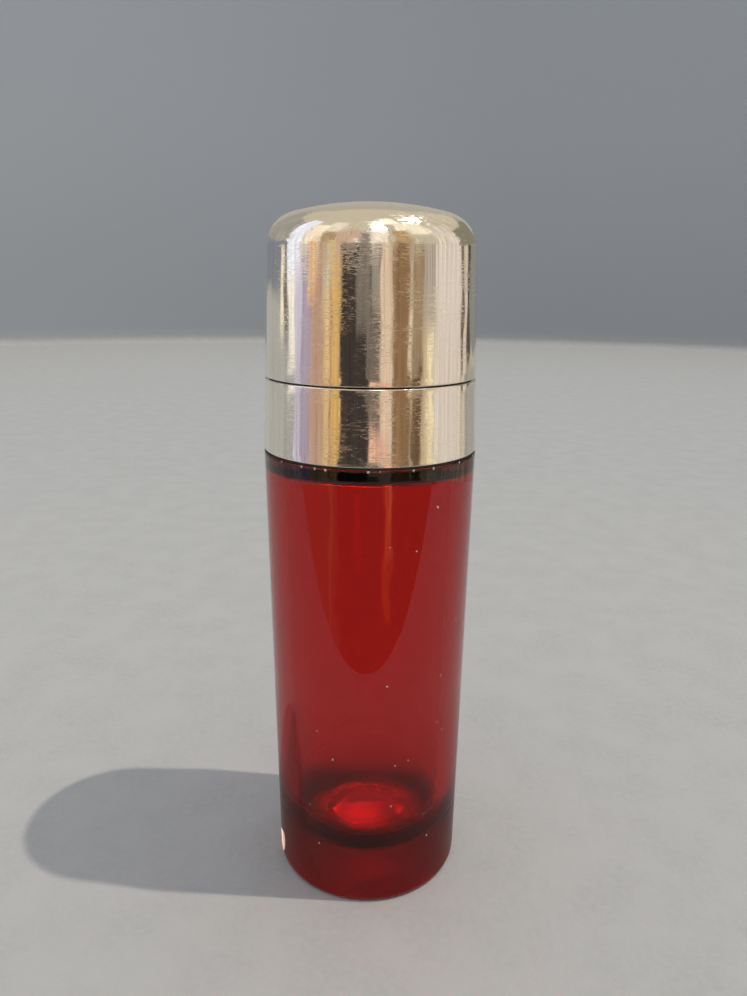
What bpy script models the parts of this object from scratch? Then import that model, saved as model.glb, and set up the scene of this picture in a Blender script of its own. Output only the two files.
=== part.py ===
"""A silver-mounted ruby glass scent bottle: a tapered glass body, a ground glass stopper and a domed screw cap.

Run it with blender --background --python part.py, or from Blender's text editor. Units are metres, +Z is up,
and the origin is at the centre of the flat that the bottle stands on. Every piece is turned about the Z axis.
"""

import math

import bpy

mm = 0.001

# Glass body
shoulder_radius = 13.0 * mm  # outside, at the top of the glass wall
base_radius = 12.25 * mm  # outside, just above the heel
body_height = 57.6 * mm  # from the standing flat to the shoulder
heel_radius = 0.8 * mm
shoulder_edge_radius = 0.5 * mm
glass_wall = 2.5 * mm
floor_thickness = 5.0 * mm
floor_fillet = 6.0 * mm  # between the cavity's wall and its floor
shoulder_thickness = 1.7 * mm  # glass above the cavity
cavity_top_fillet = 0.9 * mm
neck_wall = 3.05 * mm  # at the lip, from the neck's outside to the bore
bore_taper = 1 / 16  # loss of radius for each unit of depth, over the ground seat
lip_radius = 0.6 * mm

# Silver mounts
silver_wall = 0.7 * mm
collar_height = 8.4 * mm
collar_flare = 0.35 * mm  # the collar is this much wider at its foot than at the seam
cap_height = 19.7 * mm
cap_draft = 0.47 * mm  # the cap narrows this much from the seam to its rounded edge
cap_edge_radius = 4.0 * mm
crown_radius = 36.0 * mm  # of the shallow dome inside the rounded edge
soft_edge = 0.2 * mm  # rounding on each side of the seam
mount_space = 0.73 * mm  # air between the cap's shell and the sleeve inside it

# Thread between the collar's ring and the cap's sleeve
thread_starts = 3
thread_pitch = 2.0 * mm
thread_depth = 0.9 * mm
thread_gap = 0.3 * mm  # radial clearance between the two threads
ring_height = 5.2 * mm  # above the seam
ring_wall = 0.5 * mm  # under the thread's groove
ring_foot = 1.6 * mm  # width of the turned-out foot below the ledge
sleeve_wall = 0.5 * mm

# Stopper, seal and small plates
lip_rise = 0.4 * mm  # the glass lip stands this far above the threaded ring
plug_length = 8.0 * mm
head_overhang = 1.4 * mm  # the stopper's head is this much wider than the mouth
head_edge_radius = 1.1 * mm
waist_depth = 0.5 * mm  # groove between the stopper's head and its plug
crown_space = 4.4 * mm  # from the crown plate to the top of the cap
plate_thickness = 0.5 * mm
cork_thickness = 4.2 * mm
retainer_thickness = 0.6 * mm
rim_thickness = 0.7 * mm

# Clearances
fit_gap = 0.3 * mm  # between pieces that rest on or surround each other
seam_gap = 0.3 * mm  # between the cap and the collar
ground_gap = 0.1 * mm  # between the stopper's plug and its seat

segments = 48  # steps round each turned piece
thread_rows_per_pitch = 7
sharp_angle = math.radians(35)

# Places that follow from the sizes above
seam_height = body_height + fit_gap + collar_height
collar_top_radius = shoulder_radius - collar_flare
cap_shoulder_radius = collar_top_radius - cap_draft
sleeve_outer_radius = cap_shoulder_radius - silver_wall - mount_space
sleeve_groove_radius = sleeve_outer_radius - sleeve_wall
ring_crest_radius = sleeve_groove_radius - thread_gap
ring_root_radius = ring_crest_radius - thread_depth
ring_inner_radius = ring_root_radius - ring_wall
neck_radius = ring_inner_radius - fit_gap
mouth_radius = neck_radius - neck_wall  # bore at the lip
lip_height = seam_height + ring_height + lip_rise
plate_bottom = cap_height - crown_space - plate_thickness  # this and the next four count from the seam
cork_top = plate_bottom - fit_gap
cork_bottom = cork_top - cork_thickness
head_bottom = ring_height + lip_rise + fit_gap
head_top = cork_bottom - fit_gap
retainer_top = cork_bottom - fit_gap
head_radius = mouth_radius + head_overhang


def plain_material(name, colour, roughness, metallic=0.0, transmission=0.0, ior=1.5):
    """A Principled material with one colour and one roughness."""
    material = bpy.data.materials.new(name)
    material.use_nodes = True
    shader = material.node_tree.nodes["Principled BSDF"]
    shader.inputs["Base Color"].default_value = (*colour, 1.0)
    shader.inputs["Roughness"].default_value = roughness
    shader.inputs["Metallic"].default_value = metallic
    shader.inputs["Transmission Weight"].default_value = transmission
    shader.inputs["IOR"].default_value = ior
    material.diffuse_color = (*colour, 1.0)
    return material


def arc(centre, radius, start, end, steps):
    """Points (radius, height) on an arc about centre, from one angle to another, in degrees; 90 is up."""
    turns = [math.radians(start + (end - start) * i / steps) for i in range(steps + 1)]
    return [(centre[0] + radius * math.cos(a), centre[1] + radius * math.sin(a)) for a in turns]


def ring_profile(inner, outer, bottom, top):
    """The rectangular section of a flat ring or a short tube."""
    return [(outer, top), (outer, bottom), (inner, bottom), (inner, top)]


def turned(name, profile, material, parent, closed=True):
    """Turns (radius, height) points about Z. They run down the outer side, and up the inner one if there is one."""
    mesh = bpy.data.meshes.new(name)
    edges = [(i, i + 1) for i in range(len(profile) - 1)]
    if closed:
        edges.append((len(profile) - 1, 0))
    mesh.from_pydata([(radius, 0.0, height) for radius, height in profile], edges, [])
    lathe = bpy.data.objects.new(name + "_profile", mesh)
    bpy.context.scene.collection.objects.link(lathe)
    screw = lathe.modifiers.new("turn", "SCREW")
    screw.axis = "Z"
    screw.angle = 2 * math.pi
    screw.steps = screw.render_steps = segments
    screw.use_merge_vertices = True
    screw.merge_threshold = 0.00001
    graph = bpy.context.evaluated_depsgraph_get()
    solid = bpy.data.meshes.new_from_object(lathe.evaluated_get(graph))
    bpy.data.objects.remove(lathe)
    bpy.data.meshes.remove(mesh)
    solid.name = name
    solid.shade_smooth()
    solid.set_sharp_from_angle(angle=sharp_angle)
    solid.materials.append(material)
    obj = bpy.data.objects.new(name, solid)
    obj.parent = parent
    assembly.objects.link(obj)
    return obj


def station(name, height, parent=None):
    """An empty on the axis, that the pieces of one moving group hang from."""
    empty = bpy.data.objects.new(name, None)
    empty.empty_display_size = shoulder_radius
    empty.location.z = height
    empty.parent = parent
    assembly.objects.link(empty)
    return empty


def thread_wave(angle, height):
    """From 0 in a groove to 1 on a crest of the right-hand thread, at this angle and height above the seam."""
    turn = height / thread_pitch - thread_starts * angle / (2 * math.pi)
    return 0.5 - 0.5 * math.cos(2 * math.pi * turn)


def cut_thread(obj, wall_radius, bottom, top, shift):
    """Moves the wall of this radius in or out along the thread, which fades out at both ends."""
    run_out = thread_pitch / 2
    for vertex in obj.data.vertices:
        radius = math.hypot(vertex.co.x, vertex.co.y)
        height = vertex.co.z
        if abs(radius - wall_radius) > fit_gap / 10 or not bottom < height < top:
            continue
        fade = min(1.0, (height - bottom) / run_out, (top - height) / run_out)
        scale = 1 + shift(math.atan2(vertex.co.y, vertex.co.x), height) * fade / radius
        vertex.co.x *= scale
        vertex.co.y *= scale


def thread_heights(bottom, top):
    """Heights of the rows that carry the thread, from the top down, without the two ends."""
    rows = math.ceil((top - bottom) / thread_pitch * thread_rows_per_pitch)
    return [top - (top - bottom) * i / rows for i in range(1, rows)]


def bore_radius(depth):
    """Radius of the ground seat at this depth under the lip."""
    return mouth_radius - bore_taper * min(depth, plug_length + fit_gap)


def outer_radius(height):
    """Outside radius of the tapered glass wall at this height."""
    share = (height - heel_radius) / (body_height - heel_radius)
    return base_radius + (shoulder_radius - base_radius) * share


def make_glass_body():
    """One thick piece of ruby glass: flat foot, tapered wall, shoulder, and a neck with a ground seat."""
    cavity_top = body_height - shoulder_thickness
    seat_foot = lip_height - plug_length - fit_gap
    throat = bore_radius(plug_length + fit_gap)
    low = floor_thickness + floor_fillet
    high = cavity_top - cavity_top_fillet
    low_radius = outer_radius(low) - glass_wall
    high_radius = outer_radius(high) - glass_wall
    floor = [(0.0, floor_thickness)]
    wall_foot = arc((low_radius - floor_fillet, low), floor_fillet, -90, 0, 7)
    wall_head = arc((high_radius - cavity_top_fillet, high), cavity_top_fillet, 0, 90, 4)
    throat_flare = arc((throat + lip_radius, cavity_top + lip_radius), lip_radius, 270, 180, 3)
    bore = [(throat, seat_foot), (mouth_radius, lip_height - lip_radius / 2)]
    lip = [(mouth_radius + lip_radius / 2, lip_height)]
    lip += arc((neck_radius - lip_radius, lip_height - lip_radius), lip_radius, 90, 0, 4)
    shoulder = [(neck_radius, body_height)]
    edge = shoulder_edge_radius
    shoulder += arc((shoulder_radius - edge, body_height - edge), edge, 90, 0, 4)
    heel = arc((base_radius - heel_radius, heel_radius), heel_radius, 0, -90, 6)
    profile = floor + wall_foot + wall_head + throat_flare + bore + lip + shoulder + heel + [(0.0, 0.0)]
    turned("glass_body", profile, ruby_glass, bottle, closed=False)


def make_collar():
    """The collar's spun shell with its ledge, the threaded ring that stands in it, and the cement behind it."""
    wall_foot = body_height + fit_gap
    ledge_bottom = seam_height - silver_wall
    ledge_hole = ring_root_radius + fit_gap
    rounded = arc((collar_top_radius - soft_edge, seam_height - soft_edge), soft_edge, 90, 0, 2)
    shell = [(ledge_hole, seam_height), *rounded, (shoulder_radius, wall_foot)]
    shell += [(shoulder_radius - silver_wall, wall_foot), (collar_top_radius - silver_wall, ledge_bottom)]
    shell += [(ledge_hole, ledge_bottom)]
    turned("collar_shell", shell, silver, bottle)

    foot_top = ledge_bottom - fit_gap
    foot_bottom = foot_top - ring_wall
    foot_radius = ring_root_radius + ring_foot
    top = seam_height + ring_height
    thread_top = ring_height - ring_wall
    thread_bottom = ring_wall
    rows = [(ring_root_radius, seam_height + z) for z in thread_heights(thread_bottom, thread_top)]
    rolled_lip = arc((ring_root_radius - ring_wall / 2, top - ring_wall / 2), ring_wall / 2, 180, 0, 4)
    ring = [*rolled_lip, (ring_root_radius, seam_height + thread_top), *rows]
    ring += [(ring_root_radius, seam_height + thread_bottom), (ring_root_radius, foot_top)]
    ring += [(foot_radius, foot_top), (foot_radius, foot_bottom), (ring_inner_radius, foot_bottom)]
    obj = turned("threaded_ring", ring, silver, bottle)
    cut_thread(
        obj,
        ring_root_radius,
        seam_height + thread_bottom,
        seam_height + thread_top,
        lambda angle, height: thread_depth * thread_wave(angle, height - seam_height),
    )

    inner = neck_radius + fit_gap
    cement_bottom = wall_foot
    cement_top = foot_bottom - fit_gap
    reach = silver_wall + fit_gap
    cement = [(collar_top_radius - reach, cement_top), (shoulder_radius - reach, cement_bottom)]
    cement += [(inner, cement_bottom), (inner, cement_top)]
    turned("cement_ring", cement, cement_dark, bottle)


def make_stopper():
    """The ground glass stopper: a tapered plug, a short waist and a flat round head."""
    edge = min(head_edge_radius, (head_top - head_bottom) / 3)
    plug_top = -fit_gap
    plug_foot = -plug_length
    plug_radius = mouth_radius - ground_gap
    foot_radius = bore_radius(plug_length) - ground_gap
    height = head_top - head_bottom
    head = [(0.0, height)]
    head += arc((head_radius - edge, height - edge), edge, 90, 0, 4)
    head += arc((head_radius - edge, edge), edge, 0, -90, 4)
    waist = [(plug_radius - waist_depth, 0.0), (plug_radius - waist_depth, plug_top - waist_depth)]
    plug = [(bore_radius(waist_depth * 2 + fit_gap) - ground_gap, plug_top - waist_depth * 2)]
    plug += arc((foot_radius - waist_depth, plug_foot + waist_depth), waist_depth, 0, -90, 3)
    turned("stopper", head + waist + plug + [(0.0, plug_foot)], clear_glass, stopper_station, closed=False)


def make_cork_disc():
    """The loose cork disc that the cap presses on the stopper. It stays still while the cap turns round it."""
    radius = sleeve_groove_radius - fit_gap
    soft = cork_thickness / 8
    cork = [(0.0, cork_top)]
    cork += arc((radius - soft, cork_top - soft), soft, 90, 0, 3)
    cork += arc((radius - soft, cork_bottom + soft), soft, 0, -90, 3)
    turned("cork_disc", cork + [(0.0, cork_bottom)], cork_brown, seal_station, closed=False)


def make_cap():
    """The domed shell, the sleeve with the inside thread, and the three small plates that join and close them."""
    crown_centre = cap_height - crown_radius
    edge_centre = cap_shoulder_radius - cap_edge_radius
    edge_rise = math.sqrt((crown_radius - cap_edge_radius) ** 2 - edge_centre**2)
    edge_height = crown_centre + edge_rise
    meet = math.degrees(math.atan2(edge_rise, edge_centre))  # where the dome runs into the rounded edge

    outside = [(0.0, cap_height)] + arc((0.0, crown_centre), crown_radius, 90, meet, 5)[1:]
    outside += arc((edge_centre, edge_height), cap_edge_radius, meet, 0, 8)[1:]
    outside += arc((collar_top_radius - soft_edge, seam_gap + soft_edge), soft_edge, 0, -90, 2)
    inside = [(0.0, cap_height - silver_wall)]
    inside += arc((0.0, crown_centre), crown_radius - silver_wall, 90, meet, 4)[1:]
    inside += arc((edge_centre, edge_height), cap_edge_radius - silver_wall, meet, 0, 6)[1:]
    inside += [(collar_top_radius - silver_wall, seam_gap)]
    turned("cap_shell", outside + inside[::-1], silver, cap_station, closed=False)

    thread_bottom = seam_gap + sleeve_wall
    thread_top = ring_height + sleeve_wall
    rows = [(sleeve_groove_radius, z) for z in thread_heights(thread_bottom, thread_top)]
    sleeve = [(sleeve_outer_radius, plate_bottom - fit_gap), (sleeve_outer_radius, seam_gap)]
    sleeve += [(sleeve_groove_radius, seam_gap), (sleeve_groove_radius, thread_bottom), *rows[::-1]]
    sleeve += [(sleeve_groove_radius, thread_top), (sleeve_groove_radius, plate_bottom - fit_gap)]
    obj = turned("threaded_sleeve", sleeve, gilt, cap_station)
    cut_thread(
        obj,
        sleeve_groove_radius,
        thread_bottom,
        thread_top,
        lambda angle, height: thread_depth * (thread_wave(angle, height) - 1),
    )

    plate_top = plate_bottom + plate_thickness
    plate = [(0.0, plate_top), (sleeve_outer_radius, plate_top), (sleeve_outer_radius, plate_bottom)]
    turned("crown_plate", plate + [(0.0, plate_bottom)], gilt, cap_station, closed=False)

    retainer = ring_profile(
        head_radius + 2 * fit_gap,
        sleeve_groove_radius - fit_gap,
        retainer_top - retainer_thickness,
        retainer_top,
    )
    turned("cork_retainer", retainer, gilt, cap_station)

    rim = ring_profile(
        sleeve_outer_radius + fit_gap,
        collar_top_radius - cap_draft * rim_thickness / edge_height - silver_wall - fit_gap,
        seam_gap,
        seam_gap + rim_thickness,
    )
    turned("cap_rim", rim, silver, cap_station)


for leftover in list(bpy.data.objects):
    bpy.data.objects.remove(leftover)

assembly = bpy.data.collections.new("scent_bottle")
bpy.context.scene.collection.children.link(assembly)

ruby_glass = plain_material("ruby_glass", (0.45, 0.01, 0.01), 0.02, transmission=1.0)
clear_glass = plain_material("clear_glass", (0.9, 0.93, 0.92), 0.05, transmission=1.0)
silver = plain_material("silver", (0.86, 0.83, 0.78), 0.12, metallic=1.0)
gilt = plain_material("gilt", (0.85, 0.62, 0.28), 0.2, metallic=1.0)
cork_brown = plain_material("cork", (0.50, 0.32, 0.18), 0.85)
cement_dark = plain_material("cement", (0.05, 0.04, 0.035), 0.8)

bottle = station("bottle_station", 0.0)
stopper_station = station("stopper_station", seam_height + head_bottom, bottle)
seal_station = station("seal_station", seam_height, bottle)
cap_station = station("cap_station", 0.0, seal_station)

make_glass_body()
make_collar()
make_stopper()
make_cork_disc()
make_cap()
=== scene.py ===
import math
import random

import bmesh
import bpy
from mathutils import Matrix, Vector, noise


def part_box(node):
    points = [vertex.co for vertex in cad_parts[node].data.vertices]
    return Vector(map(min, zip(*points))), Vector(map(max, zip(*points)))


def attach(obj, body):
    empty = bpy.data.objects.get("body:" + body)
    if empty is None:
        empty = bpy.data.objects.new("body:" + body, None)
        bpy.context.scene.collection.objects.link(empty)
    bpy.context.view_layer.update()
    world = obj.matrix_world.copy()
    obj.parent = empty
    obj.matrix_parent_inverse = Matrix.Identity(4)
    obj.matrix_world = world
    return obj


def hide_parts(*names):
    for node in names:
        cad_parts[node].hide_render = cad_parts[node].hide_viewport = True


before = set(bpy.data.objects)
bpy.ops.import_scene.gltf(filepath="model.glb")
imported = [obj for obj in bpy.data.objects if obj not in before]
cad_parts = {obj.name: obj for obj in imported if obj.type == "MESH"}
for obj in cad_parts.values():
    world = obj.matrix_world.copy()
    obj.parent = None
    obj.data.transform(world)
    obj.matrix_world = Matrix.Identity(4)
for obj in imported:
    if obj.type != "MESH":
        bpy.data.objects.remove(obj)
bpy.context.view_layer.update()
mm = 0.001
print("frame loaded,", len(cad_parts), "solids")

# Heights and radii that come from the solids

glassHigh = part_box("glass_body")[1]
collarLow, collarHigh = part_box("collar_shell")
ringLow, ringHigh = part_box("threaded_ring")
cementLow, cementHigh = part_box("cement_ring")
shellLow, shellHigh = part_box("cap_shell")
sleeveLow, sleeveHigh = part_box("threaded_sleeve")
plateLow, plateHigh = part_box("crown_plate")
corkLow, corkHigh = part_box("cork_disc")
retainerLow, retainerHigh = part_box("cork_retainer")
rimLow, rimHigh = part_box("cap_rim")
stopperLow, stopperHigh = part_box("stopper")

# What was drawn once in the source of the solids and is needed again here

build = {
    "silverWall": 0.7 * mm,
    "lipClosing": 0.07 * mm,
    "seamRadius": 12.65 * mm,
    "capShoulderRadius": 12.18 * mm,
    "capEdgeRadius": 4.0 * mm,
    "crownRadius": 36.0 * mm,
    "fitGap": 0.3 * mm,
    "neckRadius": 8.25 * mm,
    "mouthRadius": 5.2 * mm,
    "throatRadius": 4.68 * mm,
    "ringRootRadius": 9.05 * mm,
    "sleeveGrooveRadius": 10.25 * mm,
    "threadDepth": 0.9 * mm,
    "threadPitch": 2.0 * mm,
    "threadStarts": 3,
}


# Shader helpers

def feed(tree, socket, value):
    # The value is another node's output or a constant
    if isinstance(value, bpy.types.NodeSocket):
        tree.links.new(value, socket)
    else:
        socket.default_value = value


def addNode(tree, kind, settings=None, **inputs):
    # Inputs go by their name, or by their number after an n
    made = tree.nodes.new(kind)
    for key, value in (settings or {}).items():
        setattr(made, key, value)
    for key, value in inputs.items():
        numbered = key[0] == "n" and key[1:].isdigit()
        feed(tree, made.inputs[int(key[1:]) if numbered else key], value)
    return made


def mathNode(tree, operation, a, b=0.0, clamp=False):
    settings = {"operation": operation, "use_clamp": clamp}
    return addNode(tree, "ShaderNodeMath", settings, n0=a, n1=b).outputs[0]


def mixColour(tree, factor, a, b):
    made = addNode(tree, "ShaderNodeMix", {"data_type": "RGBA"}, n0=factor)
    for index, value in ((6, a), (7, b)):
        feed(tree, made.inputs[index], value if isinstance(value, bpy.types.NodeSocket) else (*value, 1.0))
    return made.outputs[2]


def stretchTo(tree, value, fromLow, fromHigh, toLow=0.0, toHigh=1.0, smooth=True):
    settings = {"interpolation_type": "SMOOTHSTEP" if smooth else "LINEAR"}
    ends = {"n1": fromLow, "n2": fromHigh, "n3": toLow, "n4": toHigh}
    return addNode(tree, "ShaderNodeMapRange", settings, n0=value, **ends).outputs[0]


def noiseValue(tree, place, scale, detail, roughness=0.5):
    settings = {"Vector": place, "Scale": scale, "Detail": detail, "Roughness": roughness}
    return addNode(tree, "ShaderNodeTexNoise", None, **settings).outputs[0]


def scaledPlace(tree, place, scale, rotation=(0.0, 0.0, 0.0)):
    return addNode(tree, "ShaderNodeMapping", None, Vector=place, Rotation=rotation, Scale=scale).outputs[0]


def objectPlace(tree):
    return tree.nodes.new("ShaderNodeTexCoord").outputs["Object"]


def splitPlace(tree, place):
    return addNode(tree, "ShaderNodeSeparateXYZ", None, Vector=place).outputs


def newGroup(name, inputs, outputs):
    tree = bpy.data.node_groups.new(name, "ShaderNodeTree")
    for label, default in inputs:
        kind = "NodeSocketVector" if label == "Vector" else "NodeSocketFloat"
        socket = tree.interface.new_socket(name=label, in_out="INPUT", socket_type=kind)
        if default is not None:
            socket.default_value = default
    for label in outputs:
        tree.interface.new_socket(name=label, in_out="OUTPUT", socket_type="NodeSocketFloat")
    return tree, tree.nodes.new("NodeGroupInput"), tree.nodes.new("NodeGroupOutput")


def useGroup(tree, group, **inputs):
    return addNode(tree, "ShaderNodeGroup", {"node_tree": group}, **inputs)


def newMaterial(name):
    material = bpy.data.materials.new(name)
    material.use_nodes = True
    tree = material.node_tree
    return material, tree, tree.nodes["Principled BSDF"]


def glowMaterial(name):
    material, tree, shader = newMaterial(name)
    tree.nodes.remove(shader)
    return material, tree, tree.nodes["Material Output"].inputs["Surface"]


def addBump(tree, shader, strength, depth, height):
    bump = addNode(tree, "ShaderNodeBump", None, Strength=strength, Distance=depth, Height=height)
    tree.links.new(bump.outputs[0], shader.inputs["Normal"])


noiseSpan = (0.3, 0.7)  # nearly all of a noise texture's values lie between these


# Hair scratches that run round the turned pieces, with patches where they crowd together.
# Each layer is (lean, spread round the piece, spread along it, noise where a line starts, where it is full).
hairLook = {
    "layers": [(0.0, 900, 8000, 0.48, 0.72), (0.12, 1500, 7000, 0.5, 0.74), (-0.25, 2300, 5600, 0.54, 0.78)],
    "sideLean": 0.7,  # share of the lean that tips the lines sideways too
    "lineDetail": 2.5,
    "patchScale": 240.0,
    "patchStarts": 0.3,
    "patchFull": 0.62,
    "betweenPatches": 0.12,
}


def makeHairScratches(look):
    inputs = [("Vector", None), ("Fineness", 1.0), ("Crowding", 0.5)]
    tree, entry, leave = newGroup("hairScratches", inputs, ["Height", "Mask"])
    place, fineness = entry.outputs["Vector"], entry.outputs["Fineness"]
    grown = addNode(tree, "ShaderNodeVectorMath", {"operation": "SCALE"}, n0=place, Scale=fineness).outputs[0]
    patches = noiseValue(tree, place, look["patchScale"], 3.0, 0.65)
    patches = stretchTo(tree, patches, look["patchStarts"], look["patchFull"])
    crowd = mathNode(tree, "MULTIPLY", patches, entry.outputs["Crowding"])
    mask = None
    for lean, across, down, low, high in look["layers"]:
        lines = scaledPlace(tree, grown, (across, across, down), (lean, lean * look["sideLean"], 0.0))
        lines = stretchTo(tree, noiseValue(tree, lines, 1.0, look["lineDetail"], 0.6), low, high)
        mask = lines if mask is None else mathNode(tree, "MAXIMUM", mask, lines)
    mask = mathNode(tree, "MULTIPLY", mask, mathNode(tree, "ADD", crowd, look["betweenPatches"]), clamp=True)
    tree.links.new(mask, leave.inputs["Mask"])
    tree.links.new(mathNode(tree, "SUBTRACT", 1.0, mask), leave.inputs["Height"])
    return tree


# Fine mottling: grain for the table, the cork and the cement, thin tarnish for metal, colour for the glass
grainLook = {"broadScale": 0.12, "contrastReach": 0.3}


def makeGrain(look):
    inputs = [("Vector", None), ("Size", 1000.0), ("Contrast", 0.5)]
    tree, entry, leave = newGroup("grain", inputs, ["Fine", "Broad"])
    place, size = entry.outputs["Vector"], entry.outputs["Size"]
    fine = noiseValue(tree, place, size, 4.0, 0.6)
    broad = noiseValue(tree, place, mathNode(tree, "MULTIPLY", size, look["broadScale"]), 3.0)
    reach = mathNode(tree, "MULTIPLY", entry.outputs["Contrast"], look["contrastReach"])
    low, high = mathNode(tree, "SUBTRACT", 0.5, reach), mathNode(tree, "ADD", 0.5, reach)
    tree.links.new(stretchTo(tree, fine, low, high), leave.inputs["Fine"])
    tree.links.new(stretchTo(tree, broad, low, high), leave.inputs["Broad"])
    return tree


hairScratches = makeHairScratches(hairLook)
grain = makeGrain(grainLook)


def makePolishedMetal(name, look):
    material, tree, shader = newMaterial(name)
    place = objectPlace(tree)
    fineness, crowding = look["fineness"], look["crowding"]
    scratches = useGroup(tree, hairScratches, Vector=place, Fineness=fineness, Crowding=crowding)
    mottle = useGroup(tree, grain, Vector=place, Size=look["mottleSize"], Contrast=look["mottleContrast"])
    film = mathNode(tree, "MULTIPLY", mottle.outputs["Broad"], look["film"])
    tree.links.new(mixColour(tree, film, look["colour"], look["filmColour"]), shader.inputs["Base Color"])
    shader.inputs["Metallic"].default_value = 1.0
    worn = mathNode(tree, "MULTIPLY", scratches.outputs["Mask"], look["scratchRoughness"])
    cloud = mathNode(tree, "MULTIPLY", mottle.outputs["Fine"], look["cloud"])
    rough = mathNode(tree, "ADD", mathNode(tree, "ADD", worn, cloud), look["roughness"])
    tree.links.new(rough, shader.inputs["Roughness"])
    addBump(tree, shader, look["scratchStrength"], look["scratchDepth"], scratches.outputs["Height"])
    return material


silverLook = {
    "colour": (0.93, 0.89, 0.84),
    "filmColour": (0.62, 0.52, 0.40),
    "film": 0.15,
    "roughness": 0.03,
    "scratchRoughness": 0.34,
    "cloud": 0.03,
    "crowding": 0.8,
    "fineness": 1.0,
    "mottleSize": 700.0,
    "mottleContrast": 0.8,
    "scratchDepth": 0.0018 * mm,
    "scratchStrength": 1.0,
}
gildingLook = {
    **silverLook,
    "colour": (0.90, 0.66, 0.32),
    "filmColour": (0.80, 0.72, 0.62),
    "film": 0.6,
    "roughness": 0.16,
    "scratchRoughness": 0.15,
    "cloud": 0.06,
}
silver = makePolishedMetal("handPolishedSilver", silverLook)
gilding = makePolishedMetal("wornGilding", gildingLook)


rubyLook = {
    "tint": (0.91, 0.0, 0.05),
    "density": 1090.0,
    "roughness": 0.0,
    "ior": 1.51,
    "specular": 0.17,
    "footRoughness": 0.6,
    "footTint": (0.10, 0.08, 0.075),
    "bodyTint": (0.97, 0.96, 0.96),
    "ripple": 0.0015 * mm,
    "rippleStrength": 0.5,
    "mottleSize": 900.0,
    "mottleContrast": 0.9,
    "floorRoughness": 0.12,
    "ringRoughness": 0.42,
    "floorRadius": 4.5 * mm,  # the dull floor gives way to the duller ring round it
    "ringRadius": 7.0 * mm,
    "residueTop": 14 * mm,
    "residueFull": 9 * mm,
    "cavityRadius": 10.9 * mm,
    "cavityFade": 0.3 * mm,
    "footTop": (1.5 * mm, 2.5 * mm),  # no residue below the first height, all of it above the second
    "groundTop": (0.6 * mm, 0.3 * mm),  # clear above the first height, ground dull below the second
}


def makeRubyGlass(look):
    # Clear outside. The foot is ground dull, and dried scent has left the bottom of the cavity a little dull.
    material, tree, shader = newMaterial("rubyGlass")
    place = objectPlace(tree)
    x, y, z = splitPlace(tree, place)
    squares = mathNode(tree, "ADD", mathNode(tree, "POWER", x, 2.0), mathNode(tree, "POWER", y, 2.0))
    reach = mathNode(tree, "SQRT", squares)
    inner = stretchTo(tree, reach, look["cavityRadius"], look["cavityRadius"] - look["cavityFade"])
    low = stretchTo(tree, z, look["residueTop"], look["residueFull"])
    above = stretchTo(tree, z, *look["footTop"])
    residue = mathNode(tree, "MULTIPLY", mathNode(tree, "MULTIPLY", inner, low), above)
    ring = stretchTo(
        tree, reach, look["floorRadius"], look["ringRadius"], look["floorRoughness"], look["ringRoughness"]
    )
    rough = mathNode(tree, "ADD", mathNode(tree, "MULTIPLY", residue, ring), look["roughness"])
    rough = mathNode(tree, "ADD", rough, stretchTo(tree, z, *look["groundTop"], 0.0, look["footRoughness"]))
    tree.links.new(rough, shader.inputs["Roughness"])
    mottle = useGroup(tree, grain, Vector=place, Size=look["mottleSize"], Contrast=look["mottleContrast"])
    colour = mixColour(tree, mottle.outputs["Broad"], (1.0, 1.0, 1.0), look["bodyTint"])
    patchy = stretchTo(tree, mottle.outputs["Fine"], 0.0, 0.3, 0.8, 1.0)
    # The lowest 0.6 mm of the foot is tinted dark with footTint, a little patchy
    ground = mathNode(tree, "MULTIPLY", stretchTo(tree, z, *look["groundTop"]), patchy)
    tree.links.new(mixColour(tree, ground, colour, look["footTint"]), shader.inputs["Base Color"])
    addBump(tree, shader, look["rippleStrength"], look["ripple"], mottle.outputs["Broad"])
    shader.inputs["Transmission Weight"].default_value = 1.0
    shader.inputs["IOR"].default_value = look["ior"]
    shader.inputs["Specular IOR Level"].default_value = look["specular"]
    tint = (*look["tint"], 1.0)
    depth = addNode(tree, "ShaderNodeVolumeAbsorption", None, Color=tint, Density=look["density"])
    tree.links.new(depth.outputs[0], tree.nodes["Material Output"].inputs["Volume"])
    return material


rubyGlass = makeRubyGlass(rubyLook)

stopperLook = {
    "colour": (0.96, 0.98, 0.97),
    "groundColour": (0.86, 0.87, 0.84),
    "ior": 1.52,
    "clearRoughness": 0.02,
    "groundRoughness": 0.42,
    "groundDepth": 0.01 * mm,
    "groundStrength": 0.6,
    "groundFade": 0.3 * mm,
    "grainSize": 9000.0,
    "grainContrast": 0.7,
}


def makeGroundGlass(look, groundTop):
    material, tree, shader = newMaterial("groundGlass")
    place = objectPlace(tree)
    ground = stretchTo(tree, splitPlace(tree, place)["Z"], groundTop, groundTop - look["groundFade"])
    mottle = useGroup(tree, grain, Vector=place, Size=look["grainSize"], Contrast=look["grainContrast"])
    rough = stretchTo(tree, ground, 0.0, 1.0, look["clearRoughness"], look["groundRoughness"], smooth=False)
    tree.links.new(rough, shader.inputs["Roughness"])
    pits = mathNode(tree, "MULTIPLY", mottle.outputs["Fine"], ground)
    addBump(tree, shader, look["groundStrength"], look["groundDepth"], pits)
    patches = mathNode(tree, "MULTIPLY", mottle.outputs["Broad"], ground)
    colour = mixColour(tree, patches, look["colour"], look["groundColour"])
    tree.links.new(colour, shader.inputs["Base Color"])
    shader.inputs["Transmission Weight"].default_value = 1.0
    shader.inputs["IOR"].default_value = look["ior"]
    return material


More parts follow.
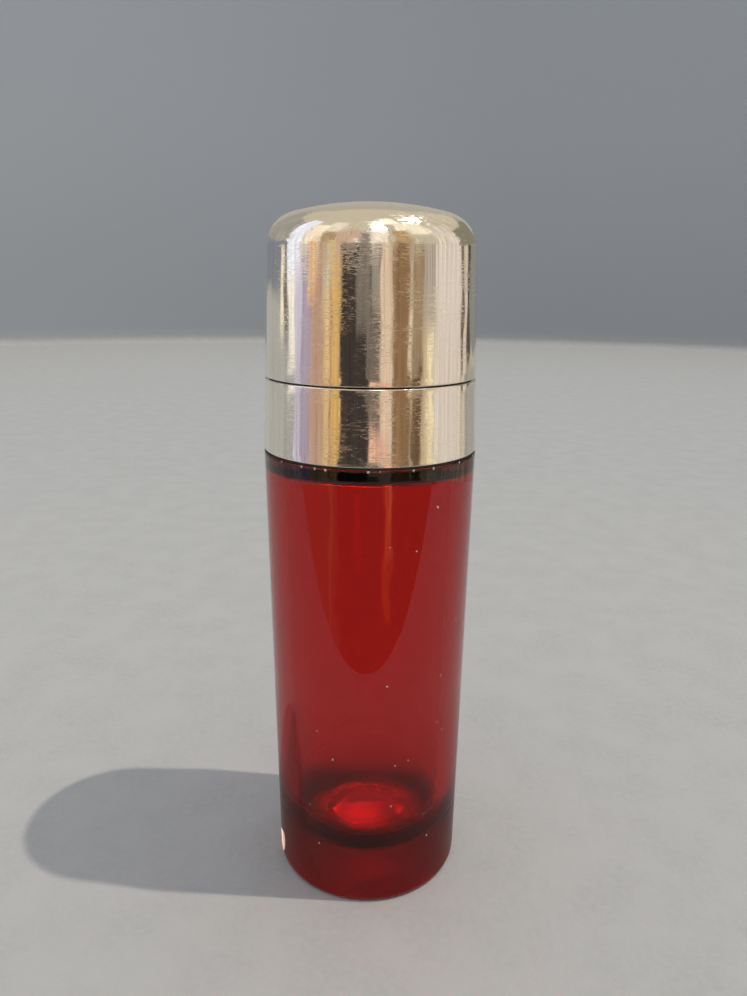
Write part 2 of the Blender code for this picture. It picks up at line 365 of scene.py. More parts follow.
def makeCrumbly(name, look):
    material, tree, shader = newMaterial(name)
    mottle = useGroup(tree, grain, Vector=objectPlace(tree), Size=look["size"], Contrast=look["contrast"])
    fine, broad = mottle.outputs["Fine"], mottle.outputs["Broad"]
    colour = mixColour(tree, broad, look["colour"], look["secondColour"])
    specks = mathNode(tree, "MULTIPLY", fine, look["speckle"])
    tree.links.new(mixColour(tree, specks, colour, look["speckColour"]), shader.inputs["Base Color"])
    smoothest, roughest = look["roughness"] - 0.1, look["roughness"] + 0.05
    rough = stretchTo(tree, fine, 0.0, 1.0, smoothest, roughest, smooth=False)
    tree.links.new(rough, shader.inputs["Roughness"])
    addBump(tree, shader, look["bumpStrength"], look["bumpDepth"], fine)
    return material


corkLook = {
    "colour": (0.50, 0.32, 0.17),
    "secondColour": (0.40, 0.24, 0.12),
    "speckColour": (0.13, 0.06, 0.03),
    "speckle": 0.35,
    "size": 2600.0,
    "contrast": 0.6,
    "roughness": 0.85,
    "bumpStrength": 0.8,
    "bumpDepth": 0.12 * mm,
}
# Near black: partly the cement's own colour and partly painted shade, which darkens the band under the collar
# seen through the glass
cementLook = {
    "colour": (0.014, 0.011, 0.009),
    "secondColour": (0.030, 0.022, 0.018),
    "speckColour": (0.16, 0.13, 0.10),
    "speckle": 0.2,
    "size": 3200.0,
    "contrast": 0.4,
    "roughness": 0.8,
    "bumpStrength": 0.7,
    "bumpDepth": 0.1 * mm,
}
corkBrown = makeCrumbly("pressedCork", corkLook)
cementDark = makeCrumbly("mountCement", cementLook)
groundGlass = makeGroundGlass(stopperLook, glassHigh.z - 0.2 * mm)
print("materials made")


# Mesh helpers

sharpFrom = math.radians(50)
smallEdge = 0.1 * mm  # rounding of the edges inside
axisReach = 2 * mm  # nearer the axis than this, a push is held back


def softCorners(corners, steps=6):
    # Each corner is (radius, height, rounding)
    points = []
    count = len(corners)
    for index, (radius, height, rounding) in enumerate(corners):
        here = Vector((radius, height))
        before = Vector(corners[index - 1][:2]) - here
        after = Vector(corners[(index + 1) % count][:2]) - here
        if rounding <= 0 or before.length < 1e-9 or after.length < 1e-9:
            points.append(here)
            continue
        before.normalize()
        after.normalize()
        half = before.angle(after) / 2
        reach = rounding / math.tan(half)
        centre = here + (before + after).normalized() * (rounding / math.sin(half))
        start, end = here + before * reach - centre, here + after * reach - centre
        turn = start.angle_signed(end)
        for i in range(steps + 1):
            part = -turn * i / steps
            cos, sin = math.cos(part), math.sin(part)
            points.append(centre + Vector((start.x * cos - start.y * sin, start.x * sin + start.y * cos)))
    return points


def tubeCorners(outer, inner, high, low, edge):
    return [(outer, high, edge), (outer, low, edge), (inner, low, edge), (inner, high, edge)]


def discCorners(reach, high, low, edge):
    return [(0.0, high, 0.0), (reach, high, edge), (reach, low, edge), (0.0, low, 0.0)]


def ringFaces(row, steps):
    # Quads between one ring of vertices and the next
    low, high = row * steps, (row + 1) * steps
    return [(low + i, low + (i + 1) % steps, high + (i + 1) % steps, high + i) for i in range(steps)]


def stripFaces(steps):
    return [(2 * i, 2 * i + 1, 2 * i + 3, 2 * i + 2) for i in range(steps)]


def neighbours(items, closed):
    return list(zip(items, items[1:] + items[:1] if closed else items[1:]))


def cutLong(points, longest, closed):
    # Long straight runs are cut into short ones
    made = []
    for a, b in neighbours(points, closed):
        pieces = max(1, math.ceil((b - a).length / longest))
        made += [a.lerp(b, i / pieces) for i in range(pieces)]
    if not closed:
        made.append(points[-1])
    return made


def addObject(name, mesh, material):
    mesh.materials.append(material)
    made = bpy.data.objects.new(name, mesh)
    bpy.context.scene.collection.objects.link(made)
    return made


def turnedPiece(
    name, points, material, body, nodes, closed, segments=192, shift=None, longest=1.0 * mm
):
    # Points run down the outer side. An open line starts and ends on the axis.
    points = cutLong([Vector(p) for p in points], longest, closed)
    verts, rings = [], []
    for radius, height in points:
        if radius < 1e-7:
            rings.append([len(verts)])
            verts.append(Vector((0.0, 0.0, height)))
            continue
        ring = []
        for i in range(segments):
            angle = 2 * math.pi * i / segments
            place = Vector((radius * math.cos(angle), radius * math.sin(angle), height))
            ring.append(len(verts))
            verts.append(shift(place, radius, height, angle) if shift else place)
        rings.append(ring)
    faces = []
    for upper, lower in neighbours(rings, closed):
        for i in range(segments):
            j = (i + 1) % segments
            if len(upper) == 1:
                faces.append((upper[0], lower[i], lower[j]))
            elif len(lower) == 1:
                faces.append((upper[j], upper[i], lower[0]))
            else:
                faces.append((upper[j], upper[i], lower[i], lower[j]))
    mesh = bpy.data.meshes.new(name)
    mesh.from_pydata(verts, [], faces)
    mesh.shade_smooth()
    mesh.set_sharp_from_angle(angle=sharpFrom)
    piece = addObject(name, mesh, material)
    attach(piece, body)
    if nodes:
        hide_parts(*nodes)
    return piece


def arcPoints(centre, radius, start, end, steps):
    turns = [math.radians(start + (end - start) * i / steps) for i in range(steps + 1)]
    return [Vector((centre[0] + radius * math.cos(a), centre[1] + radius * math.sin(a))) for a in turns]


def wander(place, size, seed):
    # A slowly changing number, about -1 to 1
    scaled = Vector((place.x / size, place.y / size, place.z / size))
    return noise.noise(scaled + Vector((seed, seed * 1.7, seed * 0.3)))


def pushOut(place, amount, reach):
    scale = 1 + amount / reach
    return Vector((place.x * scale, place.y * scale, place.z))


def handDents(amount, size, seed):
    def shift(place, radius, height, angle):
        push = amount * (wander(place, size, seed) + 0.5 * wander(place, size * 0.45, seed + 9.0))
        return pushOut(place, push, max(radius, axisReach))
    return shift


# Glass body

glassShape = {
    "baseRadius": 12.25 * mm,
    "shoulderRadius": 13.0 * mm,
    "bodyHeight": 57.6 * mm,
    "heelRadius": 0.8 * mm,
    "shoulderEdge": 0.25 * mm,
    "wall": 2.5 * mm,
    "floor": 5.0 * mm,
    "floorFillet": 6.0 * mm,
    "shoulder": 1.7 * mm,
    "topFillet": 0.9 * mm,
    "seatDepth": 8.3 * mm,
    "mouthEase": 0.6 * mm,
    "footHollow": 0.25 * mm,
    "footRing": 0.4 * mm,
    "standHeight": 0.03 * mm,
    "waviness": 0.05 * mm,
    "waveAcross": 6 * mm,
    "waveAlong": 30 * mm,
    "wavesFrom": 4.5 * mm,
}


def glassRadius(shape, height):
    share = (height - shape["heelRadius"]) / (shape["bodyHeight"] - shape["heelRadius"])
    return shape["baseRadius"] + (shape["shoulderRadius"] - shape["baseRadius"]) * share


def makeGlassBody(shape):
    lip, wall, fillet, bodyTop = glassHigh.z, shape["wall"], shape["floorFillet"], shape["bodyHeight"]
    cavityTop = bodyTop - shape["shoulder"]
    low, high = shape["floor"] + fillet, cavityTop - shape["topFillet"]
    lowRadius, highRadius = glassRadius(shape, low) - wall, glassRadius(shape, high) - wall
    points = [Vector((0.0, shape["floor"]))]
    points += arcPoints((lowRadius - fillet, low), fillet, -90, 0, 32)
    points += arcPoints((highRadius - shape["topFillet"], high), shape["topFillet"], 0, 90, 8)
    throat, ease = build["throatRadius"], shape["mouthEase"]
    points += arcPoints((throat + ease, cavityTop + ease), ease, 270, 180, 6)
    points += [Vector((throat, lip - shape["seatDepth"]))]
    points += arcPoints((build["mouthRadius"] + ease, lip - ease), ease, 180, 90, 6)
    points += arcPoints((build["neckRadius"] - ease, lip - ease), ease, 90, 0, 8)
    points += [Vector((build["neckRadius"], bodyTop))]
    edge, heel = shape["shoulderEdge"], shape["heelRadius"]
    points += arcPoints((shape["shoulderRadius"] - edge, bodyTop - edge), edge, 90, 0, 8)
    points += arcPoints((shape["baseRadius"] - heel, heel), heel, 0, -80, 12)
    foot, stand = shape["baseRadius"] - heel, shape["standHeight"]
    points += [Vector((foot - shape["footRing"], stand))]
    for part in (0.85, 0.6, 0.3, 0.0):
        points.append(Vector((foot * part, stand + shape["footHollow"] * (1 - part**2))))

    def shift(place, radius, height, angle):
        if radius >= glassRadius(shape, height) - wall / 2 or not shape["wavesFrom"] < height < cavityTop:
            return place
        across, along = shape["waveAcross"], shape["waveAlong"]
        wave = noise.noise(Vector((place.x / across, place.y / across, place.z / along)))
        return pushOut(place, shape["waviness"] * wave, max(radius, axisReach))

    turnedPiece(
        "glassBody", points, rubyGlass, "bottle", ["glass_body"], closed=False, shift=shift
    )


makeGlassBody(glassShape)
print("glass body blown")


# Collar, its threaded ring and the cement behind it

collarShape = {
    "topEdge": 0.16 * mm,
    "footEdge": 0.12 * mm,
    "insideEdge": 0.2 * mm,
    "dents": 0.012 * mm,
    "dentSpread": 9 * mm,
}


def makeCollar(shape):
    wall = build["silverWall"]
    ledgeHole = build["ringRootRadius"] + build["fitGap"]
    outerFoot, outerTop = collarHigh.x, build["seamRadius"]
    corners = [
        (ledgeHole, collarHigh.z + build["lipClosing"], smallEdge),
        (outerTop, collarHigh.z + build["lipClosing"], shape["topEdge"]),
        (outerFoot, collarLow.z, shape["footEdge"]),
        (outerFoot - wall, collarLow.z, shape["footEdge"]),
        (outerTop - wall, collarHigh.z - wall, shape["insideEdge"]),
        (ledgeHole, collarHigh.z - wall, smallEdge),
    ]
    turnedPiece(
        "collarShell", softCorners(corners), silver, "bottle", ["collar_shell"], closed=True,
        segments=256, shift=handDents(shape["dents"], shape["dentSpread"], 3.0),
    )


makeCollar(collarShape)
seamHeight = collarHigh.z


def threadWave(angle, height):
    turn = height / build["threadPitch"] - build["threadStarts"] * angle / (2 * math.pi)
    return 0.5 - 0.5 * math.cos(2 * math.pi * turn)


def threadShift(wallRadius, low, high, rootDrop):
    # The thread's ridges stand on the wall, or hang back from it where rootDrop is 1
    fadeRun = build["threadPitch"] / 2

    def shift(place, radius, height, angle):
        if abs(radius - wallRadius) > 0.03 * mm or not low < height < high:
            return place
        fade = min(1.0, (height - low) / fadeRun, (high - height) / fadeRun)
        push = build["threadDepth"] * (threadWave(angle, height - seamHeight) - rootDrop)
        return pushOut(place, push * fade, radius)
    return shift


ringShape = {"wall": 0.5 * mm, "foot": 1.6 * mm, "topEdge": 0.22 * mm, "threadStep": 0.12 * mm}


def makeThreadedRing(shape):
    root, top = build["ringRootRadius"], ringHigh.z
    inner = root - shape["wall"]
    footTop = ringLow.z + shape["wall"]
    corners = [
        (root, top, shape["topEdge"]),
        (root, footTop, smallEdge),
        (root + shape["foot"], footTop, smallEdge),
        (root + shape["foot"], ringLow.z, smallEdge),
        (inner, ringLow.z, smallEdge),
        (inner, top, shape["topEdge"]),
    ]
    shift = threadShift(root, seamHeight + shape["wall"], top - shape["wall"], 0)
    turnedPiece(
        "threadedRing", softCorners(corners), silver, "bottle", ["threaded_ring"], closed=True,
        shift=shift, longest=shape["threadStep"],
    )


makeThreadedRing(ringShape)

cementShape = {"topEdge": 0.3 * mm, "footEdge": 0.2 * mm, "lumps": 0.06 * mm, "lumpSpread": 1.6 * mm}


def makeCementRing(shape):
    inner = build["neckRadius"] + build["fitGap"]
    reach = build["silverWall"] + build["fitGap"]
    corners = [
        (build["seamRadius"] - reach, cementHigh.z, shape["topEdge"]),
        (cementHigh.x, cementLow.z, shape["footEdge"]),
        (inner, cementLow.z, shape["footEdge"]),
        (inner, cementHigh.z, shape["topEdge"]),
    ]
    turnedPiece(
        "cementRing", softCorners(corners), cementDark, "bottle", ["cement_ring"], closed=True,
        shift=handDents(shape["lumps"], shape["lumpSpread"], 5.0), longest=0.6 * mm,
    )


makeCementRing(cementShape)

beadLook = {
    "inner": 11.6 * mm,
    "clearance": 0.03 * mm,
    "setBack": 0.12 * mm,
    "edge": 0.05 * mm,
    "raggedness": 0.05 * mm,
    "raggedSpread": 0.9 * mm,
    "raggedFrom": 0.2 * mm,
}


def makeCementAndShadeBead(look):
    # Cement pressed out between the shoulder of the glass and the collar; it is also painted shade, a
    # near-black ring that darkens the band under the collar seen through the glass
    top = collarLow.z - look["clearance"]
    low = glassShape["bodyHeight"] + look["clearance"]
    outer = collarHigh.x - look["setBack"]

    def ragged(place, radius, height, angle):
        if radius < outer - look["raggedFrom"]:
            return place
        return pushOut(place, look["raggedness"] * wander(place, look["raggedSpread"], 21.0), radius)

    corners = tubeCorners(outer, look["inner"], top, low, look["edge"])
    turnedPiece(
        "cementAndShadeBead", softCorners(corners, steps=3), cementDark, "bottle", None, closed=True,
        segments=360, shift=ragged, longest=0.3 * mm,
    )


makeCementAndShadeBead(beadLook)
print("collar mounted")


# Dry flecks that stick to the glass and under the collar's edge

fleckLook = {
    "onGlass": 44,
    "underCollar": 12,
    "collarTurn": (-1.3, 0.9),
    "size": (0.06 * mm, 0.15 * mm),
    "sunkIn": 0.15,
    "flatness": 0.45,
    "length": (0.8, 1.7),
    "tilt": 1.2,
    "lumps": 0.35,
    "footEnd": 6 * mm,
    "topEnd": 4 * mm,
    "colour": (0.88, 0.82, 0.76),
    "secondColour": (0.74, 0.64, 0.58),
    "speckColour": (0.35, 0.28, 0.24),
    "speckle": 0.3,
    "grainSize": 6000.0,
    "contrast": 0.5,
    "roughness": 0.75,
    "bumpStrength": 0.5,
    "bumpDepth": 0.01 * mm,
    "seed": 7,
}


def makeFlecks(look, shape):
    chance = random.Random(look["seed"])
    builder = bmesh.new()
    for i in range(look["onGlass"] + look["underCollar"]):
        size = chance.uniform(*look["size"])
        if i < look["onGlass"]:
            height = chance.uniform(look["footEnd"], shape["bodyHeight"] - look["topEnd"])
            angle = chance.uniform(0.0, 2 * math.pi)
        else:
            height = shape["bodyHeight"] - size * 0.8
            angle = chance.gauss(*look["collarTurn"])
        reach = glassRadius(shape, height) - size * look["sunkIn"]
        place = Vector((reach * math.cos(angle), reach * math.sin(angle), height))
        tilt = Matrix.Rotation(chance.uniform(-look["tilt"], look["tilt"]), 3, "X")
        turn = Matrix.Rotation(angle, 3, "Z") @ tilt
        made = bmesh.ops.create_icosphere(builder, subdivisions=2, radius=1.0)["verts"]
        length = chance.uniform(*look["length"])
        for vert in made:
            rough = 1 + look["lumps"] * noise.noise(vert.co * 1.7 + Vector((i * 5.3, 0.0, 0.0)))
            flat = Vector((vert.co.x * look["flatness"], vert.co.y, vert.co.z * length))
            vert.co = place + turn @ (flat * size * rough)
    mesh = bpy.data.meshes.new("dryFlecks")
    builder.to_mesh(mesh)
    builder.free()
    mesh.shade_smooth()
    flecks = addObject("dryFlecks", mesh, makeCrumbly("dryFleck", {**look, "size": look["grainSize"]}))
    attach(flecks, "bottle")


makeFlecks(fleckLook, glassShape)

# Stopper

stopperShape = {
    "headTop": 4.1 * mm,
    "headEdge": 1.1 * mm,
    "waist": 0.5 * mm,
    "waistEnd": 1.3 * mm,
    "plugStart": 1.75 * mm,
    "plugStep": 0.08 * mm,
    "waistEdge": 0.15 * mm,
    "footEdge": 0.5 * mm,
    "topGap": 0.1 * mm,
    "footGap": 0.08 * mm,
}


def makeStopper(shape):
    top, low, headRadius = stopperHigh.z, stopperLow.z, stopperHigh.x
    headBottom = top - shape["headTop"]
    plugTop = build["mouthRadius"] - shape["topGap"]
    corners = [
        (0.0, top, 0.0),
        (headRadius, top, shape["headEdge"]),
        (headRadius, headBottom, shape["headEdge"]),
        (plugTop - shape["waist"], headBottom, shape["waistEdge"]),
        (plugTop - shape["waist"], headBottom - shape["waistEnd"], shape["waistEdge"]),
        (plugTop - shape["plugStep"], headBottom - shape["plugStart"], shape["waistEdge"]),
        (build["throatRadius"] - shape["footGap"], low, shape["footEdge"]),
        (0.0, low, 0.0),
    ]
    turnedPiece(
        "stopperGlass", softCorners(corners), groundGlass, "stopper", ["stopper"], closed=False
    )


makeStopper(stopperShape)

# Cork, cap and its inner pieces

corkShape = {"edgeShare": 1 / 8, "lumps": 0.05 * mm, "lumpSpread": 1.5 * mm}


def makeCork(shape):
    edge = (corkHigh.z - corkLow.z) * shape["edgeShare"]
    corners = discCorners(corkHigh.x, corkHigh.z, corkLow.z, edge)
    turnedPiece(
        "corkDisc", softCorners(corners), corkBrown, "seal", ["cork_disc"], closed=False,
        shift=handDents(shape["lumps"], shape["lumpSpread"], 11.0), longest=0.5 * mm,
    )


makeCork(corkShape)

capShape = {"lipEdge": 0.14 * mm, "dents": 0.02 * mm, "dentSpread": 8 * mm}


def makeCapShell(shape):
    wall, edge, crown = build["silverWall"], build["capEdgeRadius"], build["crownRadius"]
    shoulder, seam = build["capShoulderRadius"], build["seamRadius"]
    crownCentre = shellHigh.z - crown
    edgeCentre = shoulder - edge
    edgeRise = math.sqrt((crown - edge) ** 2 - edgeCentre**2)
    edgeHeight = crownCentre + edgeRise
    meet = math.degrees(math.atan2(edgeRise, edgeCentre))
    lipHeight = shellLow.z - build["lipClosing"]
    lip = [
        (shoulder, edgeHeight, 0.0),
        (seam, lipHeight, shape["lipEdge"]),
        (seam - wall, lipHeight, smallEdge),
        (shoulder - wall, edgeHeight, 0.0),
    ]
    outside = arcPoints((0.0, crownCentre), crown, 90, meet, 14)[:-1]
    outside += arcPoints((edgeCentre, edgeHeight), edge, meet, 0, 28)[:-1]
    inside = arcPoints((0.0, crownCentre), crown - wall, 90, meet, 10)[:-1]
    inside += arcPoints((edgeCentre, edgeHeight), edge - wall, meet, 0, 14)[:-1]
    outside[0].x = inside[0].x = 0.0
    turnedPiece(
        "capShell", outside + softCorners(lip) + inside[::-1], silver, "cap", ["cap_shell"],
        closed=False, segments=256, shift=handDents(shape["dents"], shape["dentSpread"], 1.0),
    )


makeCapShell(capShape)


def makeSleeve():
    groove = build["sleeveGrooveRadius"]
    wall = sleeveHigh.x - groove
    corners = tubeCorners(sleeveHigh.x, groove, sleeveHigh.z, sleeveLow.z, smallEdge)
    turnedPiece(
        "threadedSleeve", softCorners(corners), gilding, "cap", ["threaded_sleeve"], closed=True,
        shift=threadShift(groove, sleeveLow.z + wall, ringHigh.z + wall, 1), longest=ringShape["threadStep"],
    )


makeSleeve()

plateEdge = 0.12 * mm


def makeCapPlates():
    plate = discCorners(plateHigh.x, plateHigh.z, plateLow.z, plateEdge)
    turnedPiece("crownPlate", softCorners(plate), gilding, "cap", ["crown_plate"], closed=False)
    hole = stopperHigh.x + 2 * build["fitGap"]
    retainer = tubeCorners(retainerHigh.x, hole, retainerHigh.z, retainerLow.z, plateEdge)
    turnedPiece("corkRetainer", softCorners(retainer), gilding, "cap", ["cork_retainer"], closed=True)
    rim = tubeCorners(rimHigh.x, sleeveHigh.x + build["fitGap"], rimHigh.z, rimLow.z, plateEdge)
    turnedPiece("capRim", softCorners(rim), silver, "cap", ["cap_rim"], closed=True)


makeCapPlates()
print("cap spun")


# Table and wall

stageLook = {
    "tableRadius": 1.02,
    "coveRadius": 0.01,
    "wallHeight": 0.6,
    "wallLightFadesOver": (0.02, 0.3),
    "grainSize": 900.0,
    "grainContrast": 0.6,
    "grainDepth": 0.1 * mm,
    "grainStrength": 0.4,
    "roughness": 0.85,
    "tableColour": (0.60, 0.587, 0.555),
    "wallColour": (0.50, 0.515, 0.53),
    # Painted light: the wall is painted lighter towards its top
    "wallTopPaintedLight": (0.56, 0.57, 0.58),
}


def makeStage(look):
    material, tree, shader = newMaterial("tableAndWall")
    place = objectPlace(tree)
    height = splitPlace(tree, place)["Z"]
    mottle = useGroup(tree, grain, Vector=place, Size=look["grainSize"], Contrast=look["grainContrast"])
    darker, lighter = (tuple(c * share for c in look["tableColour"]) for share in (0.94, 1.02))
    table = mixColour(tree, mottle.outputs["Fine"], look["tableColour"], darker)
    table = mixColour(tree, mottle.outputs["Broad"], table, lighter)
    # Painted light: the wall's colour turns lighter with height, from wallColour at its foot to
    # wallTopPaintedLight higher up
    wallLightShare = stretchTo(tree, height, *look["wallLightFadesOver"])
    wall = mixColour(tree, wallLightShare, look["wallColour"], look["wallTopPaintedLight"])
    colour = mixColour(tree, stretchTo(tree, height, 0.0, 2.4 * look["coveRadius"]), table, wall)
    tree.links.new(colour, shader.inputs["Base Color"])
    shader.inputs["Roughness"].default_value = look["roughness"]
    addBump(tree, shader, look["grainStrength"], look["grainDepth"], mottle.outputs["Fine"])
    radius, cove = look["tableRadius"], look["coveRadius"]
    points = [Vector((0.0, 0.0)), Vector((0.3, 0.0))]
    points += arcPoints((radius - cove, cove), cove, -90, 0, 8)
    points += [Vector((radius, look["wallHeight"]))]
    verts, faces, steps = [], [], 128
    for x, z in points:
        for i in range(steps):
            angle = 2 * math.pi * i / steps
            verts.append((x * math.cos(angle), x * math.sin(angle), z))
    for row in range(len(points) - 1):
        faces += ringFaces(row, steps)
    mesh = bpy.data.meshes.new("tableAndWall")
    mesh.from_pydata(verts, [], faces)
    mesh.shade_smooth()
    stage = addObject("tableAndWall", mesh, material)
    stage.visible_shadow = False


makeStage(stageLook)

# What the polished metal and the glass mirror: a shell round the bottle, painted with patches of a warm room.
# Each patch is (name, from, to, low, high, colour), in degrees round from the front and up from centreHeight.
roomLook = {
    "centreHeight": 0.0709,
    "radius": 0.22,
    "openFrom": 150,
    "openBelow": 12,
    "softness": 1.6,
    "ground": (0.60, 0.54, 0.41),
    "patches": [
        ("behindLeft", -185, -150, 8, 60, (0.46, 0.43, 0.36)),
        ("behindRight", 150, 185, 8, 60, (0.46, 0.43, 0.36)),
        ("tableLeft", -152, -84, -30, 2, (0.44, 0.44, 0.41)),
        ("wallLeft", -152, -97, 2, 13, (0.22, 0.24, 0.28)),
        ("greyLeft", -152, -98, 13, 48, (0.36, 0.35, 0.30)),
        ("windowBlue", -97, -76, 4, 56, (0.94, 1.00, 1.12)),
        ("creamPost", -109, -101, 0, 7, (1.00, 0.92, 0.66)),
        ("darkPost", -101, -96, -1, 12, (0.20, 0.17, 0.16)),
        ("creamDoor", -94, -84, -5, 5, (0.98, 0.92, 0.80)),
        ("lavenderLight", -84, -76, -30, 6, (0.62, 0.58, 0.72)),
        ("lavender", -76, -64, -30, 8, (0.42, 0.36, 0.46)),
        ("pinkTan", -64, -48, -30, 8, (0.50, 0.32, 0.23)),
        ("creamUpper", -74, -54, 8, 50, (1.05, 0.90, 0.68)),
        ("orange", -66, -57, 4, 12, (0.98, 0.60, 0.28)),
        ("tanUpper", -54, -38, 8, 34, (0.44, 0.31, 0.17)),
        ("whiteTop", -56, -34, 36, 60, (0.95, 0.86, 0.68)),
        ("goldLight", -48, -41, -30, 4, (0.82, 0.56, 0.28)),
        ("goldLine", -41, -39, -30, 6, (0.30, 0.17, 0.06)),
        ("gold", -39, -31, -30, 8, (0.76, 0.47, 0.17)),
        ("yellow", -44, -37, 8, 14, (0.74, 0.62, 0.24)),
        ("pinkUpper", -37, -12, 9, 42, (0.62, 0.45, 0.33)),
        ("paleSlot", -17, -12, 9, 20, (1.00, 0.90, 0.74)),
        ("greyBlock", -11, -1, 9, 36, (0.30, 0.23, 0.22)),
        ("darkCoat", -31, -3, -30, 8.6, (0.050, 0.040, 0.034)),
        ("darkSleeve", -14, -3, 1, 8.6, (0.20, 0.17, 0.14)),
        ("greyBrown", -3, 10, -30, 9, (0.17, 0.14, 0.11)),
        ("greyBrownLit", 2, 9, 3, 9, (0.34, 0.30, 0.24)),
        ("peachLow", -2, 20, -14, -8, (0.78, 0.46, 0.32)),
        ("peach", 10, 22, -8, 9, (0.76, 0.58, 0.42)),
        ("whiteUpper", 0, 18, 9, 46, (1.00, 0.88, 0.70)),
        ("lamp", 2, 17, 40, 66, (3.20, 3.00, 2.60)),
        ("lampEdge", 17, 46, 58, 76, (1.25, 1.15, 0.95)),
        ("creamRight", 30, 70, 30, 60, (1.02, 0.92, 0.70)),
        ("goldUpper", 24, 44, 9, 40, (0.50, 0.34, 0.17)),
        ("brown", 22, 41, -30, 9, (0.27, 0.16, 0.08)),
        ("peachLine", 40, 42, -7, 3, (0.85, 0.62, 0.42)),
        ("darkBrown", 42, 53, -30, -3, (0.17, 0.10, 0.05)),
        ("brownUpper", 43, 56, -3, 8, (0.34, 0.24, 0.14)),
        ("creamStripe", 54, 60, -30, 1, (0.58, 0.44, 0.26)),
        ("creamBright", 61, 67, -30, 1, (1.00, 0.84, 0.54)),
        ("stoneGrey", 56, 72, 1, 9, (0.46, 0.40, 0.32)),
        ("palePink", 69, 108, -30, 9, (0.74, 0.66, 0.57)),
        ("beigeUpper", 70, 105, 9, 44, (0.72, 0.65, 0.55)),
        ("darkPole", 109, 115, -6, 9, (0.17, 0.12, 0.10)),
        ("lightPole", 115, 122, -6, 9, (0.70, 0.60, 0.50)),
        ("blackPole", 123, 130, -5, 9, (0.09, 0.08, 0.07)),
        ("oliveRight", 106, 152, 9, 32, (0.24, 0.23, 0.17)),
        ("greyRight", 130, 152, -4, 9, (0.26, 0.26, 0.23)),
        ("tableRight", 118, 152, -30, -5, (0.38, 0.36, 0.32)),
    ],
    "streakWidth": 0.75,
    "streakContrast": 0.42,
    "streakLength": 0.035,
    "streaksUpTo": 66,
    "streaksFadeOver": 20,
    "streaksEndBehind": (125, 150),
    "wobble": 3.0,
    "wobbleUp": 1.0,
    "wobbleScale": (0.09, 0.16, 1.0),
}


def makePatchMask():
    # One soft-edged rectangle of directions
    names = ["Turn", "Rise", "From", "To", "Low", "High", "Softness"]
    tree, entry, leave = newGroup("patchMask", [(name, 0.0) for name in names], ["Mask"])
    value = entry.outputs
    mask = None
    for what, low, high in (("Turn", "From", "To"), ("Rise", "Low", "High")):
        for far, near in ((value[what], value[low]), (value[high], value[what])):
            edge = mathNode(tree, "DIVIDE", mathNode(tree, "SUBTRACT", far, near), value["Softness"])
            edge = mathNode(tree, "ADD", edge, 0.5, clamp=True)
            mask = edge if mask is None else mathNode(tree, "MULTIPLY", mask, edge)
    tree.links.new(mask, leave.inputs["Mask"])
    return tree


def makeRoomMaterial(look, name):
    material, tree, surface = glowMaterial(name)
    across, along, height = splitPlace(tree, objectPlace(tree))
    toDegrees = 180 / math.pi
    forward = mathNode(tree, "MULTIPLY", along, -1.0)
    turn = mathNode(tree, "MULTIPLY", mathNode(tree, "ARCTAN2", across, forward), toDegrees)
    squares = [mathNode(tree, "MULTIPLY", part, part) for part in (across, along)]
    flat = mathNode(tree, "SQRT", mathNode(tree, "ADD", *squares))
    above = mathNode(tree, "SUBTRACT", height, look["centreHeight"])
    rise = mathNode(tree, "MULTIPLY", mathNode(tree, "ARCTAN2", above, flat), toDegrees)
    angles = addNode(tree, "ShaderNodeCombineXYZ", None, X=turn, Y=rise).outputs[0]
    drift = noiseValue(tree, scaledPlace(tree, angles, look["wobbleScale"]), 1.0, 2.0)
    wobble, wobbleUp = look["wobble"], look["wobbleUp"]
    turn = mathNode(tree, "ADD", turn, stretchTo(tree, drift, *noiseSpan, -wobble, wobble, smooth=False))
    rise = mathNode(tree, "ADD", rise, stretchTo(tree, drift, *noiseSpan, -wobbleUp, wobbleUp, smooth=False))
    colour = look["ground"]
    for label, start, end, low, high, tint in look["patches"]:
        edges = {"From": start, "To": end, "Low": low, "High": high, "Softness": look["softness"]}
        patch = useGroup(tree, patchMask, Turn=turn, Rise=rise, **edges)
        patch.label = label
        colour = mixColour(tree, patch.outputs["Mask"], colour, tint)
    fine = scaledPlace(tree, angles, (look["streakWidth"], look["streakLength"], 1.0))
    low, high = 1 - look["streakContrast"], 1 + look["streakContrast"]
    streaks = stretchTo(tree, noiseValue(tree, fine, 1.0, 3.0, 0.6), *noiseSpan, low, high, smooth=False)
    calm = stretchTo(tree, rise, look["streaksUpTo"] - look["streaksFadeOver"], look["streaksUpTo"])
    behind = stretchTo(tree, mathNode(tree, "ABSOLUTE", turn), *look["streaksEndBehind"])
    calm = mathNode(tree, "MAXIMUM", calm, behind)
    strength = addNode(tree, "ShaderNodeMix", None, n0=calm, n2=streaks, n3=1.0).outputs[0]
    glow = addNode(tree, "ShaderNodeEmission", None, Color=colour, Strength=strength)
    tree.links.new(glow.outputs[0], surface)
    return material


def makePlainGlow(look, name):
    material, tree, surface = glowMaterial(name)
    colour = (*look["colour"], 1.0)
    glow = addNode(tree, "ShaderNodeEmission", None, Color=colour, Strength=look["strength"])
    tree.links.new(glow.outputs[0], surface)
    return material


def addMirrored(name, verts, faces, material):
    # Seen only in reflections and through glass, and casts no shadow
    mesh = bpy.data.meshes.new(name)
    mesh.from_pydata(verts, [], faces)
    screen = addObject(name, mesh, material)
    screen.visible_camera = False
    screen.visible_diffuse = False
    screen.visible_shadow = False
    return screen


